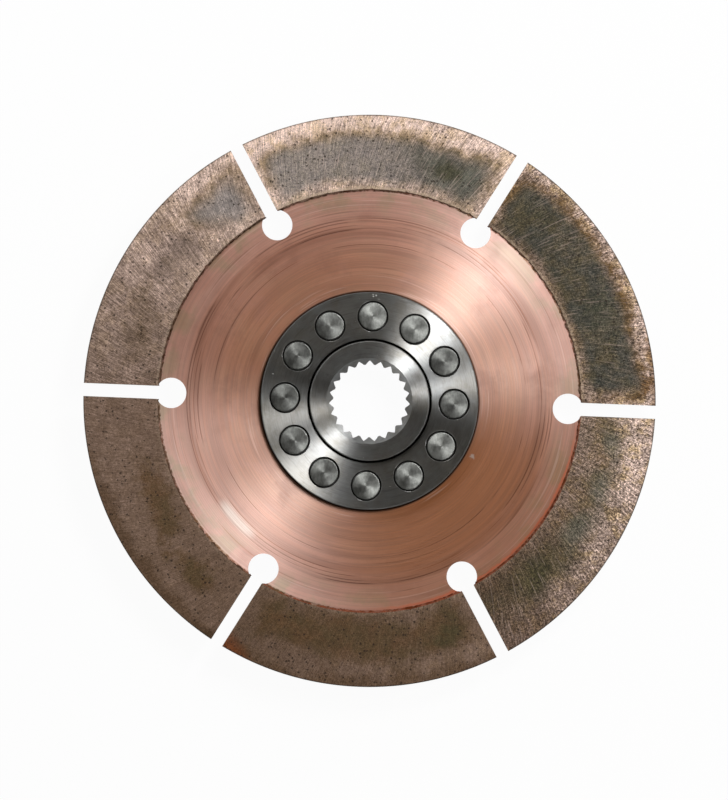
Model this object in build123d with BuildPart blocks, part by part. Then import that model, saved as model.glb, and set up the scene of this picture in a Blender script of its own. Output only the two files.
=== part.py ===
from build123d import *
from math import acos, asin, cos, pi, radians, sin, tan
import os

# Clutch disc: a rigid racing clutch disc with sintered metal linings.
#
# A thin copper-plated steel core plate is clamped between the flange of a splined hub and a
# retaining ring, and held by a circle of flush rivets. Expansion slots run in from the rim and
# end in round keyholes, and part the sintered lining on each face into segments.
#
# Frame, in millimetres: +Z along the shaft towards the retaining ring, the origin at the centre of
# the hub's rear end, on which the disc rests, and +X through the middle of the first slot.

# ---- Driving dimensions -------------------------------------------------------------------------

# Core plate and linings
disc_diameter = 184.15
core_thickness = 1.30
lining_thickness = 0.67
lining_inner_diameter = 136.0
lining_corner_radius = 0.8
lining_edge_break = 0.10

# Expansion slots
slot_count = 6
slot_width = 4.2
keyhole_diameter = 9.8
keyhole_circle_diameter = 127.8

# Hub
flange_diameter = 70.0
flange_thickness = 3.0
flange_edge_chamfer = 0.4
rear_boss_diameter = 37.0
rear_boss_length = 11.0
rear_boss_fillet = 1.5
rear_boss_chamfer = 1.0
front_boss_diameter = 38.6
front_boss_above_ring = 1.2
front_boss_chamfer = 0.35
pilot_clearance = 0.03

# Retaining ring
ring_thickness = 2.4
ring_bore_clearance = 0.70
ring_edge_chamfer = 0.15

# Rivets, on a circle that lies this far in from the flange's rim
rivet_count = 12
rivet_edge_distance = 7.75
rivet_shank_diameter = 6.0
rivet_head_diameter = 9.0
rivet_head_height = 1.28
rivet_crown_height = 0.12
rivet_rim_radius = 0.30
counterbore_clearance = 0.50
counterbore_depth = 1.30
counterbore_edge_chamfer = 0.12

# Spline: a 45 degree involute serration with 24 teeth to each inch of its pitch diameter
spline_teeth = 23
spline_module = 25.4 / 24
spline_pressure_angle = radians(45)
spline_addendum = 0.42 * spline_module
spline_space_allowance = 0.20
spline_root_relief = 0.03
spline_mouth_chamfer = 0.8
spline_clocking = -2.2  # degrees

# How close an edge has to be to a stated size or level to be the one that is meant
selection_tolerance = 0.01
# How many steps find the angle of an involute, each of which doubles the digits that are right
newton_steps = 8

# ---- Sizes and levels that follow ---------------------------------------------------------------

disc_radius = disc_diameter / 2
lining_inner_radius = lining_inner_diameter / 2
slot_pitch = 360 / slot_count
flange_radius = flange_diameter / 2
rear_boss_radius = rear_boss_diameter / 2
front_boss_radius = front_boss_diameter / 2
ring_bore_radius = front_boss_radius + ring_bore_clearance
rivet_circle_radius = flange_radius - rivet_edge_distance
shank_radius = rivet_shank_diameter / 2
head_radius = rivet_head_diameter / 2
counterbore_radius = head_radius + counterbore_clearance

flange_rear = rear_boss_length
core_rear = flange_rear + flange_thickness
core_front = core_rear + core_thickness
ring_front = core_front + ring_thickness
hub_front = ring_front + front_boss_above_ring
rear_seat = flange_rear + counterbore_depth
front_seat = ring_front - counterbore_depth


def circles(part, radius, level):
    """The round edges of a part that have this radius and lie at this level."""
    round_edges = part.edges().filter_by(GeomType.CIRCLE)
    lowest, highest = level - selection_tolerance, level + selection_tolerance
    level_edges = round_edges.filter_by_position(Axis.Z, lowest, highest)
    return level_edges.filter_by(lambda edge: abs(edge.radius - radius) < selection_tolerance)


os.makedirs("parts", exist_ok=True)

# ---- Tooth space of the spline ------------------------------------------------------------------


def involute(angle):
    """The involute function of a pressure angle in radians."""
    return tan(angle) - angle


def angle_of_involute(value):
    """The pressure angle whose involute function is this value, by Newton's method."""
    angle = spline_pressure_angle
    for _ in range(newton_steps):
        angle -= (involute(angle) - value) / tan(angle) ** 2
    return angle


# At the pitch circle the two flanks of a space are half the tooth pitch apart, and wider by the
# allowance. They close to a point at the sharp radius, and the root is cut just short of it.
pitch_radius = spline_module * spline_teeth / 2
base_radius = pitch_radius * cos(spline_pressure_angle)
half_space_angle = pi / (2 * spline_teeth) + spline_space_allowance / (2 * pitch_radius)
closing_involute = half_space_angle + involute(spline_pressure_angle)
sharp_radius = base_radius / cos(angle_of_involute(closing_involute))
minor_radius = pitch_radius - spline_addendum
root_radius = sharp_radius - spline_root_relief
mouth_radius = root_radius + spline_mouth_chamfer
mouth_depth = mouth_radius - minor_radius


def flank_point(radius, side):
    """A point on one flank of the space centred on +X; the side is 1 or -1."""
    half_angle = closing_involute - involute(acos(base_radius / radius))
    return radius * cos(half_angle), side * radius * sin(half_angle)


with BuildSketch() as tooth_space:
    with BuildLine():
        flanks = []
        for side in (-1, 1):
            foot = flank_point(minor_radius, side)
            middle = flank_point((minor_radius + root_radius) / 2, side)
            crest = flank_point(root_radius, side)
            flanks.append(ThreePointArc(foot, middle, crest))
        Line(flanks[0] @ 1, flanks[1] @ 1)
        Polyline(flanks[0] @ 0, (minor_radius - spline_addendum, 0), flanks[1] @ 0)
    make_face()

# ---- Hub: rear boss, flange and front boss turned in one ----------------------------------------

with BuildPart() as hub:
    with BuildSketch(Plane.XZ):
        with BuildLine():
            Polyline(
                (mouth_radius, 0),
                (rear_boss_radius, 0),
                (rear_boss_radius, flange_rear),
                (flange_radius, flange_rear),
                (flange_radius, core_rear),
                (front_boss_radius, core_rear),
                (front_boss_radius, hub_front),
                (mouth_radius, hub_front),
                (minor_radius, hub_front - mouth_depth),
                (minor_radius, mouth_depth),
                close=True,
            )
        make_face()
    revolve(axis=Axis.Z)
    fillet(circles(hub, rear_boss_radius, flange_rear), rear_boss_fillet)
    chamfer(circles(hub, rear_boss_radius, 0), rear_boss_chamfer)
    chamfer(circles(hub, flange_radius, flange_rear), flange_edge_chamfer)
    chamfer(circles(hub, front_boss_radius, hub_front), front_boss_chamfer)
    with BuildSketch():
        with PolarLocations(0, spline_teeth, start_angle=spline_clocking):
            add(tooth_space.sketch)
    extrude(amount=hub_front, mode=Mode.SUBTRACT)
    with Locations(Plane(origin=(0, 0, flange_rear), x_dir=(1, 0, 0), z_dir=(0, 0, -1))):
        with PolarLocations(rivet_circle_radius, rivet_count):
            CounterBoreHole(shank_radius, counterbore_radius, counterbore_depth, flange_thickness)

hub.part.label = "hub"
export_step(hub.part, "parts/hub.step")

# ---- Retaining ring: clamps the core plate to the flange ----------------------------------------

with BuildPart() as retaining_ring:
    with BuildSketch(Plane.XY.offset(core_front)):
        Circle(flange_radius)
        Circle(ring_bore_radius, mode=Mode.SUBTRACT)
    extrude(amount=ring_thickness)
    chamfer(circles(retaining_ring, flange_radius, ring_front), ring_edge_chamfer)
    chamfer(circles(retaining_ring, ring_bore_radius, ring_front), ring_edge_chamfer)
    with Locations(Plane.XY.offset(ring_front)):
        with PolarLocations(rivet_circle_radius, rivet_count):
            CounterBoreHole(shank_radius, counterbore_radius, counterbore_depth, ring_thickness)
    chamfer(circles(retaining_ring, counterbore_radius, ring_front), counterbore_edge_chamfer)

retaining_ring.part.label = "retaining_ring"
export_step(retaining_ring.part, "parts/retaining_ring.step")

# ---- Core plate: slotted from the rim, and piloted on the front boss ----------------------------

with BuildPart() as core_plate:
    with BuildSketch(Plane.XY.offset(core_rear)):
        Circle(disc_radius)
        Circle(front_boss_radius + pilot_clearance, mode=Mode.SUBTRACT)
        with PolarLocations(keyhole_circle_diameter / 2, slot_count):
            Circle(keyhole_diameter / 2, mode=Mode.SUBTRACT)
            Rectangle(disc_radius, slot_width, align=(Align.MIN, Align.CENTER), mode=Mode.SUBTRACT)
    extrude(amount=core_thickness)
    with Locations(Plane.XY.offset(core_front)):
        with PolarLocations(rivet_circle_radius, rivet_count):
            Hole(shank_radius, core_thickness)

core_plate.part.label = "core_plate"
export_step(core_plate.part, "parts/core_plate.step")

# ---- Linings: a segment between each two slots, on both faces of the core plate ------------------


def slot_edge_point(radius, slot_angle, side):
    """Where a circle of this radius meets one edge of the slot at this angle."""
    angle = radians(slot_angle) + side * asin(slot_width / 2 / radius)
    return radius * cos(angle), radius * sin(angle)


def make_lining(name, number, bond_level, outward):
    """One lining segment, bonded at a level; outward is 1 on the front face and -1 on the rear."""
    first_slot = (number - 1) * slot_pitch
    next_slot = first_slot + slot_pitch
    middle = radians(first_slot + slot_pitch / 2)
    with BuildPart() as lining:
        with BuildSketch(Plane.XY.offset(bond_level)) as outline:
            with BuildLine():
                outer_edge = ThreePointArc(
                    slot_edge_point(disc_radius, first_slot, 1),
                    (disc_radius * cos(middle), disc_radius * sin(middle)),
                    slot_edge_point(disc_radius, next_slot, -1),
                )
                inner_edge = ThreePointArc(
                    slot_edge_point(lining_inner_radius, first_slot, 1),
                    (lining_inner_radius * cos(middle), lining_inner_radius * sin(middle)),
                    slot_edge_point(lining_inner_radius, next_slot, -1),
                )
                Line(outer_edge @ 0, inner_edge @ 0)
                Line(outer_edge @ 1, inner_edge @ 1)
            make_face()
            inner_corners = outline.vertices().sort_by_distance((0, 0, 0))[:2]
            fillet(inner_corners, lining_corner_radius)
        extrude(amount=outward * lining_thickness)
        working_face = lining.faces().sort_by(Axis.Z, reverse=outward > 0)[0]
        chamfer(working_face.edges(), lining_edge_break)
    lining.part.label = name
    export_step(lining.part, f"parts/{name}.step")


for number in range(1, slot_count + 1):
    make_lining(f"front_lining_{number}", number, core_front, 1)
    make_lining(f"rear_lining_{number}", number, core_rear, -1)

# ---- Rivets: a nearly flat head at both ends, set into the flange and the ring ------------------

crown_radius = (head_radius**2 + rivet_crown_height**2) / (2 * rivet_crown_height)


def crown_drop(radius):
    """How far the crown of a rivet's head lies below its middle at this radius."""
    return crown_radius - (crown_radius**2 - radius**2) ** 0.5


def draw_rivet_head(seat, outward):
    """Draws half of a head's outline, from the shank to the middle of its crown."""
    rim = seat + outward * rivet_head_height
    crown = rim + outward * rivet_crown_height
    half_radius = head_radius / 2
    Polyline((shank_radius, seat), (head_radius, seat), (head_radius, rim))
    ThreePointArc(
        (head_radius, rim),
        (half_radius, crown - outward * crown_drop(half_radius)),
        (0, crown),
    )
    return rim, crown


for number, place in enumerate(PolarLocations(rivet_circle_radius, rivet_count), start=1):
    name = f"rivet_{number:02d}"
    with BuildPart() as rivet:
        with BuildSketch(Plane(origin=place.position, x_dir=(1, 0, 0), z_dir=(0, -1, 0))):
            with BuildLine():
                rear_rim, rear_crown = draw_rivet_head(rear_seat, -1)
                front_rim, front_crown = draw_rivet_head(front_seat, 1)
                Line((shank_radius, rear_seat), (shank_radius, front_seat))
                Line((0, rear_crown), (0, front_crown))
            make_face()
        revolve(axis=Axis(place.position, (0, 0, 1)))
        for rim in (rear_rim, front_rim):
            fillet(circles(rivet, head_radius, rim), rivet_rim_radius)
    rivet.part.label = name
    export_step(rivet.part, f"parts/{name}.step")
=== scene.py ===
from math import atan2, cos, hypot, pi, radians, sin
from typing import NamedTuple

import bmesh
import bpy
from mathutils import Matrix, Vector


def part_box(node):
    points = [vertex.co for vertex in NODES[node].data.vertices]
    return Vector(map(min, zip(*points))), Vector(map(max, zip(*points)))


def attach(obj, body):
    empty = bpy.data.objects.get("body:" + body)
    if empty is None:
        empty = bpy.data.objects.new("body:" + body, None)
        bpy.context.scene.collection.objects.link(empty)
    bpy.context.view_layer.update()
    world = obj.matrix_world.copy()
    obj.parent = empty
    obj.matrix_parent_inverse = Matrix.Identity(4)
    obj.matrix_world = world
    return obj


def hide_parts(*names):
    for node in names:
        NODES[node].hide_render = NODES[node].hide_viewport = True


bl_info = {
    "name": "Clutch Disc Looks",
    "version": (1, 0, 0),
    "blender": (4, 5, 0),
    "location": "View3D > Sidebar > Clutch Disc",
    "description": "Dresses a sintered racing clutch disc and sets its studio stage",
    "category": "Object",
}

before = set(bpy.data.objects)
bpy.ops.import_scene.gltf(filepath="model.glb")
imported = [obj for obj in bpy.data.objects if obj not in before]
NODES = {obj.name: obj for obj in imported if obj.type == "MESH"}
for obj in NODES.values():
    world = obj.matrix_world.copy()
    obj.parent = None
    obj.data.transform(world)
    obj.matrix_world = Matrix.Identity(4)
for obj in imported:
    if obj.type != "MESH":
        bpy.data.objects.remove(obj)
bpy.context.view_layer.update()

MM = 0.001
BODY = "root"


# ---- Sizes read from the frame ----


def node_radii(node):
    """The smallest and largest distance of a CAD node's corners from the shaft axis."""
    radii = [hypot(vertex.co.x, vertex.co.y) for vertex in NODES[node].data.vertices]
    return min(radii), max(radii)


SLOT_COUNT = 6
SLOT_PITCH = 2 * pi / SLOT_COUNT
RIVET_COUNT = 12
LINING_INNER, LINING_OUTER = node_radii("front_lining_1")
SLOT_HALF_WIDTH = min(vertex.co.y for vertex in NODES["front_lining_1"].data.vertices)
LINING_BOND, LINING_FACE = (corner.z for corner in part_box("front_lining_1"))
REAR_LINING_FACE, REAR_LINING_BOND = (corner.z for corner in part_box("rear_lining_1"))
RING_REAR, RING_FRONT = (corner.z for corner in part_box("retaining_ring"))
MIDDLE_PLANE = (LINING_BOND + REAR_LINING_BOND) / 2


# ---- Sizes and colours that a user would change ----


def length(name, description, default):
    """A length property in metres."""
    return bpy.props.FloatProperty(
        name=name, description=description, default=default, precision=5, unit="LENGTH"
    )


def colour(name, description, default):
    """A colour property, in linear light."""
    return bpy.props.FloatVectorProperty(
        name=name, description=description, default=default, size=3, subtype="COLOR", min=0, max=1
    )


class ClutchLiningSizes(bpy.types.PropertyGroup):
    """How the linings' edges are formed."""

    steps: bpy.props.IntProperty(
        name="Steps", description="Divisions along one lining's arc", default=190, min=30
    )
    rows: bpy.props.IntProperty(
        name="Rows", description="Divisions from the inner edge to the rim", default=7, min=2
    )
    corner: length("Corner Radius", "Radius of the two inner corners", 0.8 * MM)
    edge_round: length("Edge Rounding", "Width of the rounding around the free face", 0.10 * MM)
    ragged: length("Raggedness", "Width of the band the inner edge wanders in", 1.7 * MM)
    ragged_scale: length("Raggedness Length", "Length of one bite in the inner edge", 1.5 * MM)


class ClutchColours(bpy.types.PropertyGroup):
    """The finishes' colours."""

    copper: colour("Copper", "Copper plating", (0.54, 0.208, 0.098))
    copper_outer: colour("Outer Copper", "Copper plating near the linings", (0.655, 0.312, 0.218))
    copper_pink: colour("Pink Copper", "Copper plating where it is bare", (0.56, 0.232, 0.150))
    copper_tarnish: colour("Tarnish", "Copper plating where it has turned", (0.43, 0.29, 0.145))
    # Painted shade: the copper's darker, more saturated colour on its shaded lower-right side
    copper_shaded_side: colour("Aged Copper", "Copper plating on its older side", (0.49, 0.140, 0.012))
    copper_dark: colour("Stained Copper", "Copper plating where it is stained", (0.32, 0.092, 0.030))
    steel: colour("Steel", "Turned steel", (0.415, 0.422, 0.422))
    steel_film: colour("Oily Steel", "Turned steel under a film of oil", (0.285, 0.257, 0.210))
    rivet: colour("Rivet Steel", "Steel of the rivets' heads", (0.30, 0.307, 0.29))
    # Painted shade: the near-black colour painted into gaps and recesses and over the edges beside them
    painted_shade: colour("Grime", "Oil and dust down in the gaps", (0.012, 0.010, 0.008))
    lining: colour("Lining", "Sintered lining", (0.122, 0.0705, 0.042))
    lining_bright: colour("Burnished Lining", "Lining where it is rubbed bright", (0.80, 0.60, 0.51))
    lining_gold: colour("Gold Lining", "Burnished lining with a heat tint", (0.60, 0.42, 0.22))
    lining_bead: colour("Raised Edge", "Lining pressed up along the inner edge", (0.48, 0.36, 0.255))


class ClutchStageSizes(bpy.types.PropertyGroup):
    """The floor and the camera."""

    floor_width: length("Floor Width", "Width of the floor", 6.0)
    camera_height: length("Camera Height", "Camera above the linings' front face", 3.0)
    view_height: length("View Height", "Height of the view at the linings' front face", 257.4 * MM)
    turn: bpy.props.FloatProperty(
        name="Camera Turn", description="Turn of the camera about the shaft axis",
        default=radians(2.3), subtype="ANGLE",
    )


# ---- Colours of stains, marks, painted shade and painted light, in linear light ----

OLD_OIL = (0.135, 0.105, 0.055)
PALE_NICK = (0.62, 0.62, 0.58)

POLISHED_COPPER = (0.80, 0.58, 0.49)
# Painted highlight on a rubbed streak
RUBBED_HIGHLIGHT_COPPER = (0.80, 0.72, 0.63)
BRUISED_COPPER = (0.70, 0.56, 0.48)
GROOVED_COPPER = (0.13, 0.044, 0.024)
# Painted shadow along the linings' inner edge, and its reddish colour on the lower-right side
LINING_SHADOW_COLOUR = (0.042, 0.026, 0.014)
RED_LINING_SHADOW_COLOUR = (0.30, 0.060, 0.018)
# Painted reflection: a bright orange-red line by the linings' inner edge on the lower-right side
ORANGE_REFLECTION = (0.74, 0.145, 0.034)

OPEN_PORE = (0.022, 0.013, 0.008)
# Painted shade along the linings' rim
RIM_SHADE = (0.04, 0.03, 0.022)
SLATE = (0.060, 0.063, 0.050)
BLUE_SLATE = (0.085, 0.105, 0.105)
MOSS = (0.042, 0.048, 0.018)
OLIVE = (0.071, 0.057, 0.027)
DARK_OLIVE = (0.034, 0.034, 0.012)
UMBER = (0.062, 0.036, 0.013)
BROWN = (0.075, 0.036, 0.010)
MAUVE = (0.100, 0.069, 0.054)
GREEN_GREY = (0.112, 0.116, 0.088)
WARM_GREY = (0.142, 0.128, 0.108)
ASH = (0.193, 0.173, 0.163)
CREAM = (0.462, 0.331, 0.254)
MUSTARD = (0.088, 0.056, 0.018)
TAN = (0.105, 0.050, 0.015)
COPPERY = (0.20, 0.085, 0.022)
RUST = (0.17, 0.046, 0.010)
# Painted shade along the linings' inner edge, reddish on the lower linings
BROWN_LIP_SHADE = (0.07, 0.030, 0.014)
RED_LIP_SHADE = (0.24, 0.046, 0.012)
DULL_RED_LIP_SHADE = (0.20, 0.040, 0.012)
OCHRE_LINE = (0.155, 0.078, 0.020)
GOLD_LINE = (0.24, 0.155, 0.070)
DULL_GOLD_LINE = (0.20, 0.125, 0.055)

FLOOR_PAINT = (0.85, 0.85, 0.85)
WHITE = (1.0, 1.0, 1.0)
DIM_CEILING = (0.023, 0.017, 0.010)


# ---- Where marks, painted shade and painted light lie ----

# Where a shade starts and where it is full, as radii in millimetres
# The next five are painted shade: where the gaps' shade starts, the hub's and the ring's edges, the plate
# round the hub, and the shadow under the ring's edge
PAINTED_SHADE_START = (17.7, 18.3)
HUB_EDGE_SHADE = (18.95, 19.25)
HUB_GAP_SHADE = (21.2, 20.4)
RING_EDGE_SHADE = (34.5, 34.95)
RING_EDGE_SHADOW = (35.9, 35.2)
POLISHED_INSIDE = (42.0, 38.5)
MIDDLE_RING = (45.0, 53.0)
WORKED_RING, WORKED_RING_END = (52.0, 55.0), (60.5, 58.5)
OUTER_RING = (57.0, 61.5)
POLISHED_OUTSIDE = (60.5, 63.0)
# Radii of the painted orange reflection, and of the painted shadow along the linings
ORANGE_REFLECTION_START, ORANGE_REFLECTION_END = (66.35, 67.0), (67.60, 67.30)
# Radii of the painted shadow along the linings' inner edge
LINING_SHADOW_RADII = (67.25, 67.60)

# Levels between which painted shade lies, in millimetres
HUB_SHADE_LEVELS = (RING_REAR / MM, RING_FRONT / MM - 0.2)
RING_SHADE_LEVELS = (RING_REAR / MM - 1, RING_FRONT / MM - 0.30)
RIVET_SHADE_LEVELS = (RING_FRONT / MM - 4, RING_FRONT / MM - 0.14)

# The radius and half width of each groove in the copper, and of a rubbed band painted as a highlight, in
# millimetres
COPPER_GROOVES = ((55.3, 0.30), (56.6, 0.22), (57.9, 0.24), (58.8, 0.30), (50.4, 0.20))
RUBBED_HIGHLIGHT_BAND = (57.4, 2.6)

# The radius, azimuth and size of each mark, in millimetres and degrees
PUNCH_MARKS = ((34.0, 88.6, 0.30), (33.6, 90.2, 0.32), (34.2, 90.4, 0.22))
BRUISE = (37.7, -26.3, 0.9)

# The azimuth of each sector's middle, its half angle and the softness of its ends, in degrees
# The side of the plate painted darker as shade
SHADED_SIDE_SECTOR = (-52, 22, 32)
# The side where the painted shadow along the linings is reddish
RED_SHADOW_SECTOR = (-53, 35, 20)
# The side where the orange reflection is painted
ORANGE_REFLECTION_SECTOR = (-45, 26, 20)
# Where the rubbed streak's painted highlight lies
RUBBED_HIGHLIGHT_SECTOR = (-135.8, 3, 6)

GRINDING_TWIST = 0.0038  # radians for each millimetre of radius
WELD_DISTANCE = 0.001 * MM


# ---- Shader nodes ----


def make_node(kind, inputs, **settings):
    """The outputs of a new shader node. Each input is a constant, or the socket to link from.

    The node joins the tree that its first socket belongs to.
    """
    tree = next(value.id_data for value in inputs.values() if isinstance(value, bpy.types.NodeSocket))
    node = tree.nodes.new("ShaderNode" + kind)
    for name, value in settings.items():
        setattr(node, name, value)
    for key, value in inputs.items():
        if isinstance(value, bpy.types.NodeSocket):
            tree.links.new(value, node.inputs[key])
        else:
            node.inputs[key].default_value = value
    return node.outputs


def link_all(sockets, **values):
    """Links values to the inputs of a shader or the outputs of a group, by their names."""
    for name, value in values.items():
        value.id_data.links.new(value, sockets[name])


def calculate(operation, *values):
    """A Math node's result."""
    return make_node("Math", dict(enumerate(values)), operation=operation)[0]


def difference(first, second):
    """The first value less the second."""
    return calculate("SUBTRACT", first, second)


def product(first, *others):
    """The product of several values."""
    for value in others:
        first = calculate("MULTIPLY", first, value)
    return first


def highest(first, *others):
    """The highest of several values."""
    for value in others:
        first = calculate("MAXIMUM", first, value)
    return first


def build_up(base, *shares):
    """A base value plus a share of each of several values."""
    for value, share in shares:
        base = calculate("MULTIPLY_ADD", value, share, base)
    return base


def calculate_vector(operation, *values, output="Vector"):
    """A Vector Math node's result."""
    return make_node("VectorMath", dict(enumerate(values)), operation=operation)[output]


def scaled(vector, amount):
    """A vector or a colour times a value."""
    return make_node("VectorMath", {0: vector, "Scale": amount}, operation="SCALE")[0]


def ramp(value, low, high, from_low=0.0, to_high=1.0):
    """Runs smoothly from one value to another as the input goes from low to high."""
    inputs = {"Value": value, "From Min": low, "From Max": high, "To Min": from_low, "To Max": to_high}
    return make_node("MapRange", inputs, interpolation_type="SMOOTHSTEP", clamp=True)[0]


def between(value, first, last):
    """Runs smoothly from the first value to the last as the input goes from 0 to 1."""
    return ramp(value, 0.0, 1.0, first, last)


def vary(value, amount, low=0.0, high=1.0):
    """A factor that runs to both sides of 1 by an amount, as the input goes from low to high."""
    return ramp(value, low, high, 1 - amount, 1 + amount)


def noise(vector, scale, detail=2.0, roughness=0.5):
    """A Noise Texture's value, from 0 to 1 about a mean of 0.5."""
    inputs = {"Vector": vector, "Scale": scale, "Detail": detail, "Roughness": roughness}
    return make_node("TexNoise", inputs)["Fac"]


def wander(value, vector, scale, width):
    """A value that strays up to a width to both sides, as a noise does."""
    stray = calculate("MULTIPLY_ADD", noise(vector, scale), 2 * width, -width)
    return calculate("ADD", value, stray)


def blend_colour(factor, first, second):
    """A Mix node's colour. First and second are sockets or colours."""
    inputs = {0: factor}
    for index, value in ((6, first), (7, second)):
        inputs[index] = value if isinstance(value, bpy.types.NodeSocket) else (*value, 1)
    return make_node("Mix", inputs, data_type="RGBA")[2]


def coat(surface, *coats):
    """Lays coats over a colour, one after another. Each coat is an amount and a colour."""
    for amount, covering in coats:
        surface = blend_colour(amount, surface, covering)
    return surface


def new_group(name, values, vectors=(), **inputs):
    """An empty shader node group with a vector and values as inputs, and these outputs."""
    tree = bpy.data.node_groups.new(name, "ShaderNodeTree")
    tree.interface.new_socket(name="Vector", in_out="INPUT", socket_type="NodeSocketVector")
    for label, default in inputs.items():
        socket = tree.interface.new_socket(name=label, in_out="INPUT", socket_type="NodeSocketFloat")
        socket.default_value = default
    for kind, labels in (("Float", values), ("Vector", vectors)):
        for label in labels:
            tree.interface.new_socket(name=label, in_out="OUTPUT", socket_type="NodeSocket" + kind)
    return tree.nodes.new("NodeGroupInput").outputs, tree.nodes.new("NodeGroupOutput").inputs


def use_group(name, vector, **values):
    """Places a node group in a material or in another group."""
    return make_node("Group", {"Vector": vector, **values}, node_tree=bpy.data.node_groups[name])


def new_material(name):
    """A material with a Principled BSDF, and its shader and Object coordinates."""
    material = bpy.data.materials.new(name)
    material.use_nodes = True
    tree = material.node_tree
    return material, tree.nodes["Principled BSDF"], tree.nodes.new("ShaderNodeTexCoord").outputs["Object"]


def finish_surface(shader, surface, rough, height, distance):
    """Links the colour, roughness and relief to a shader."""
    bump = make_node("Bump", {"Height": height, "Distance": distance})
    link_all(shader.inputs, Roughness=rough, Normal=bump["Normal"])
    surface.id_data.links.new(surface, shader.inputs["Base Color"])


# ---- Node groups that several materials use ----


def make_polar_group():
    """Radius and level in millimetres, and the direction from the shaft axis."""
    given, result = new_group("Polar Place", ("Radius", "Level"), ("Direction",))
    enlarged = scaled(given["Vector"], 1 / MM)
    flat = calculate_vector("MULTIPLY", enlarged, (1, 1, 0))
    link_all(result, Radius=calculate_vector("LENGTH", flat, output="Value"),
             Direction=calculate_vector("NORMALIZE", flat),
             Level=make_node("SeparateXYZ", {0: enlarged})["Z"])


def ring_noise(polar, around, across, detail, roughness=0.5):
    """A noise that runs round the axis: long around it and short across it."""
    upward = make_node("CombineXYZ", {"Z": product(polar["Radius"], across)})[0]
    place = calculate_vector("ADD", scaled(polar["Direction"], around), upward)
    return noise(place, 1.0, detail, roughness)


def make_turning_group():
    """Concentric marks of a lathe tool: fine lines, and the broader bands they gather in."""
    given, result = new_group("Turning Marks", ("Lines", "Scores", "Bands", "Scuffs"), Width=0.4, Run=3.0)
    polar = use_group("Polar Place", given["Vector"])
    across = calculate("DIVIDE", 1.0, given["Width"])
    lines = ring_noise(polar, given["Run"], across, 2.0, 0.6)
    scores = ring_noise(polar, product(given["Run"], 0.7), product(across, 0.55), 1.0)
    bands = ring_noise(polar, given["Run"], product(across, 0.12), 2.0)
    scuffs = noise(scaled(given["Vector"], 60.0), 1.0, 5.0, 0.65)
    link_all(result, Lines=ramp(lines, 0.34, 0.66), Scores=ramp(scores, 0.62, 0.71), Bands=bands,
             Scuffs=scuffs)


def make_grinding_group():
    """Straight marks that run out from the shaft axis, as a cup wheel leaves them.

    The twist, in radians for each millimetre of radius, lays them at a slant.
    """
    given, result = new_group("Grinding Marks", ("Marks", "Scratches"), Width=0.4, Length=9.0, Twist=0.0)
    untwisted = use_group("Polar Place", given["Vector"])
    slant = product(untwisted["Radius"], given["Twist"])
    twisted = make_node("VectorRotate", {0: given["Vector"], "Angle": slant}, rotation_type="Z_AXIS")[0]
    polar = use_group("Polar Place", twisted)
    around = calculate("DIVIDE", (LINING_INNER + LINING_OUTER) / 2 / MM, given["Width"])
    across = calculate("DIVIDE", 1.0, given["Length"])
    marks = ring_noise(polar, around, across, 3.0, 0.66)
    scratches = ring_noise(polar, product(around, 0.7), product(across, 0.6), 1.0)
    link_all(result, Marks=marks, Scratches=ramp(scratches, 0.63, 0.75))


def make_grain_group():
    """The grain of sintered metal: fine and coarse specks, and slow clouds, each from 0 to 1."""
    given, result = new_group("Sintered Grain", ("Fine", "Coarse", "Cloud"), Size=0.8)
    coarse = calculate("DIVIDE", 1 / MM, given["Size"])
    fine = product(coarse, 2.2)
    fields = (("Fine", fine, 1.0, 0.5), ("Coarse", coarse, 4.0, 0.75), ("Cloud", 160.0, 5.0, 0.65))
    for name, scale, detail, roughness in fields:
        field = noise(given["Vector"], scale, detail, roughness)
        link_all(result, **{name: ramp(field, 0.30, 0.70)})


def make_pore_group():
    """Small open pores of uneven size, some cells apart."""
    given, result = new_group("Pores", ("Pores",), Spacing=1.4, Size=0.2, Share=0.5)
    scale = calculate("DIVIDE", 1 / MM, given["Spacing"])
    cells = make_node("TexVoronoi", {"Vector": given["Vector"], "Scale": scale}, feature="F1")
    chance = make_node("SeparateColor", {0: cells["Color"]})
    open_cell = calculate("LESS_THAN", chance[0], given["Share"])
    uneven = calculate("MULTIPLY_ADD", calculate("POWER", chance[1], 2.0), 1.4, 0.4)
    edge = product(given["Size"], uneven)
    rough_edge = difference(noise(given["Vector"], 3000.0, 1.0), 0.5)
    ragged = calculate("ADD", edge, product(rough_edge, edge, 2.4))
    inside = difference(ragged, cells["Distance"])
    link_all(result, Pores=product(ramp(inside, -0.03, 0.05), open_cell))


def make_painted_shade_group():
    """Where painted shade lies in gaps and recesses: between two levels and outside the hub's bore, with
    soft edges.
    """
    given, result = new_group("Gap Grime", ("Grime",), Top=0.0, Bottom=0.0)
    polar = use_group("Polar Place", given["Vector"])
    level = wander(polar["Level"], given["Vector"], 500.0, 0.15)
    softness = 0.18
    below_top = ramp(difference(given["Top"], level), 0.0, softness)
    above_bottom = ramp(difference(level, given["Bottom"]), -softness, 0.0)
    beyond = ramp(polar["Radius"], *PAINTED_SHADE_START)
    link_all(result, Grime=product(below_top, above_bottom, beyond))


def make_margin_group():
    """How far a place on a lining is from the rim, the inner edge and its two slots.

    The lining is turned so that its first slot lies along +X. Distances are in millimetres, and
    Along runs from 0 at the first slot to 1 at the second.
    """
    given, result = new_group("Lining Margins", ("Rim", "Inner", "First", "Second", "Along"))
    radius = use_group("Polar Place", given["Vector"])["Radius"]
    split = make_node("SeparateXYZ", {0: scaled(given["Vector"], 1 / MM)})
    gap = SLOT_HALF_WIDTH / MM
    first = difference(split["Y"], gap)
    second = calculate("MULTIPLY_ADD", split["X"], sin(SLOT_PITCH), -gap)
    second = calculate("MULTIPLY_ADD", split["Y"], -cos(SLOT_PITCH), second)
    link_all(result, Rim=difference(LINING_OUTER / MM, radius),
             Inner=difference(radius, LINING_INNER / MM), First=first, Second=second,
             Along=calculate("DIVIDE", first, calculate("ADD", first, second)))


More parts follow.
